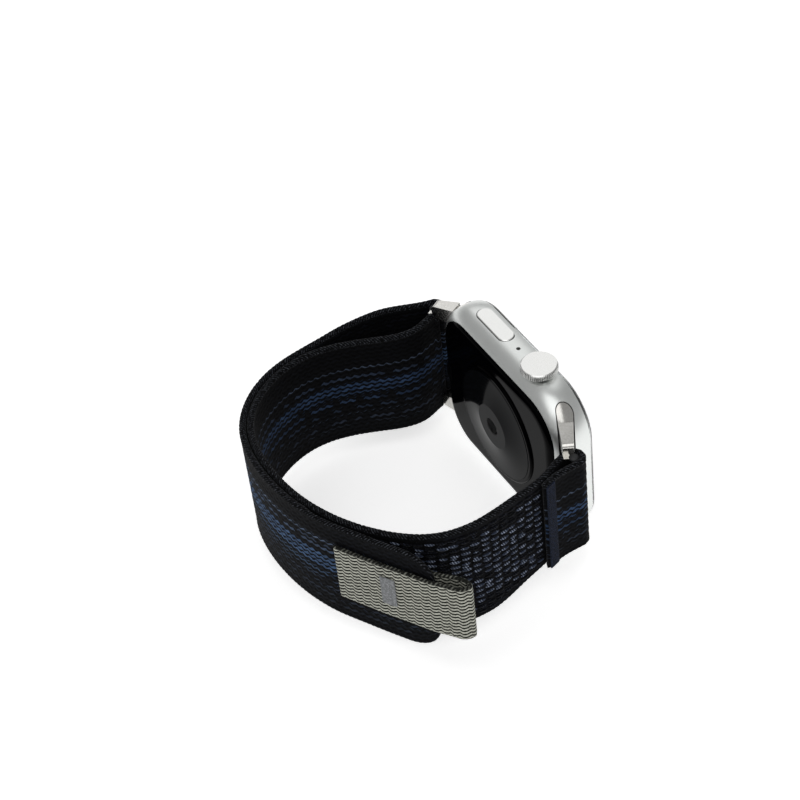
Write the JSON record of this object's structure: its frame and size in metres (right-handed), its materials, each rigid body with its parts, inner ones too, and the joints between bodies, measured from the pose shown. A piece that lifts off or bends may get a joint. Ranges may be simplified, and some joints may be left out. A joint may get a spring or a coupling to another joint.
{
  "type": "smartwatch with hook-and-loop band",
  "caption": "Rounded rectangular wrist computer with a knurled crown and a side button, on a woven hook-and-loop band with a pull tab.",
  "frame": {"origin": "middle of the flat of the sensor window, the face that touches the wrist or a charger", "axes": "+X out through the display, +Y along the case to the far lug, +Z to the crown side, which is up as it stands"},
  "size_m": [0.0598, 0.0717, 0.0399],
  "materials": {
    "case_aluminium": "bead-blasted, anodised silver",
    "crown_aluminium": "knurled and anodised, with a turned top",
    "button_aluminium": "bead-blasted, anodised silver",
    "cover_glass": "polished",
    "display_black": "black, switched off",
    "seal_rubber": "moulded",
    "back_black": "polished black",
    "sensor_glass": "polished dome",
    "circuit_board": "solder mask",
    "diode_black": "clear-coated",
    "emitter_gold": "gold-plated pads",
    "copper": "wound copper wire",
    "magnet_nickel": "nickel plated",
    "battery_foil": "pouch foil",
    "motor_steel": "turned",
    "inner_plastic": "moulded",
    "lug_steel": "satin sides, polished edges",
    "release_dark": "polished black",
    "band_weave": "navy and black woven nylon",
    "hook_tape": "nylon hook tape",
    "tack_navy": "dense stitching",
    "tab_webbing": "ribbed grey webbing",
    "tack_grey": "dense stitching"
  },
  "bodies": {
    "case": {"case_body": "case_aluminium", "front_glass": "cover_glass", "display_panel": "display_black", "display_gasket": "seal_rubber", "back_cover": "back_black", "back_seal": "seal_rubber", "sensor_ring": "back_black", "sensor_window": "sensor_glass", "sensor_board": "circuit_board", "photodiodes": "diode_black", "light_emitters": "emitter_gold", "charging_coil": "copper", "alignment_magnet": "magnet_nickel", "main_board": "circuit_board", "chip_cans": "magnet_nickel", "battery": "battery_foil", "haptic_motor": "motor_steel", "speaker": "inner_plastic", "microphone": "magnet_nickel", "crown_bushing": "inner_plastic", "crown_encoder": "inner_plastic", "crown_switch": "inner_plastic", "side_button_switch": "inner_plastic", "lug_near": "lug_steel", "lug_far": "lug_steel", "strap_inner": "band_weave", "strap_turnback": "band_weave", "strap_outer": "band_weave", "turnback_tack": "tack_navy"},
    "crown_press": {"crown_plunger": "inner_plastic"},
    "crown": {"crown_cap": "crown_aluminium", "crown_shaft": "motor_steel", "crown_seals": "seal_rubber"},
    "side_button": {"side_button": "button_aluminium"},
    "release_near": {"release_button_near": "release_dark"},
    "release_far": {"release_button_far": "release_dark"},
    "latch_pin_near": {"latch_near": "motor_steel"},
    "latch_pin_far": {"latch_far": "motor_steel"},
    "band_tail": {"strap_tail": "band_weave", "hook_patch": "hook_tape", "pull_tab": "tab_webbing", "tab_tack": "tack_grey"}
  },
  "joints": [
    {"name": "crown_press", "type": "slide", "parent": "case", "child": "crown_press", "axis": [0, 0, -1], "range_m": [0, 0.00025], "stiffness_N_per_m": 8000},
    {"name": "crown_spin", "type": "hinge", "parent": "crown_press", "child": "crown", "pos_m": [0.0067, -0.0088, 0.019], "axis": [0, 0, 1], "continuous": true},
    {"name": "side_button_press", "type": "slide", "parent": "case", "child": "side_button", "axis": [0, 0, -1], "range_m": [0, 0.00025], "stiffness_N_per_m": 8000},
    {"name": "release_press_near", "type": "slide", "parent": "case", "child": "release_near", "axis": [1, 0, 0], "range_m": [0, 0.0006], "stiffness_N_per_m": 5000},
    {"name": "latch_slide_near", "type": "slide", "parent": "case", "child": "latch_pin_near", "axis": [1, 0, 0], "range_m": [0, 0.0006]},
    {"name": "release_press_far", "type": "slide", "parent": "case", "child": "release_far", "axis": [1, 0, 0], "range_m": [0, 0.0006], "stiffness_N_per_m": 5000},
    {"name": "latch_slide_far", "type": "slide", "parent": "case", "child": "latch_pin_far", "axis": [1, 0, 0], "range_m": [0, 0.0006]},
    {"name": "tail_peel", "type": "hinge", "parent": "case", "child": "band_tail", "pos_m": [-0.04695, -0.00851, 0], "axis": [0, 0, -1], "range_deg": [0, 70]}
  ],
  "couplings": [
    {"joint": "latch_slide_near", "follows": "release_press_near", "ratio": 1},
    {"joint": "latch_slide_far", "follows": "release_press_far", "ratio": 1}
  ]
}
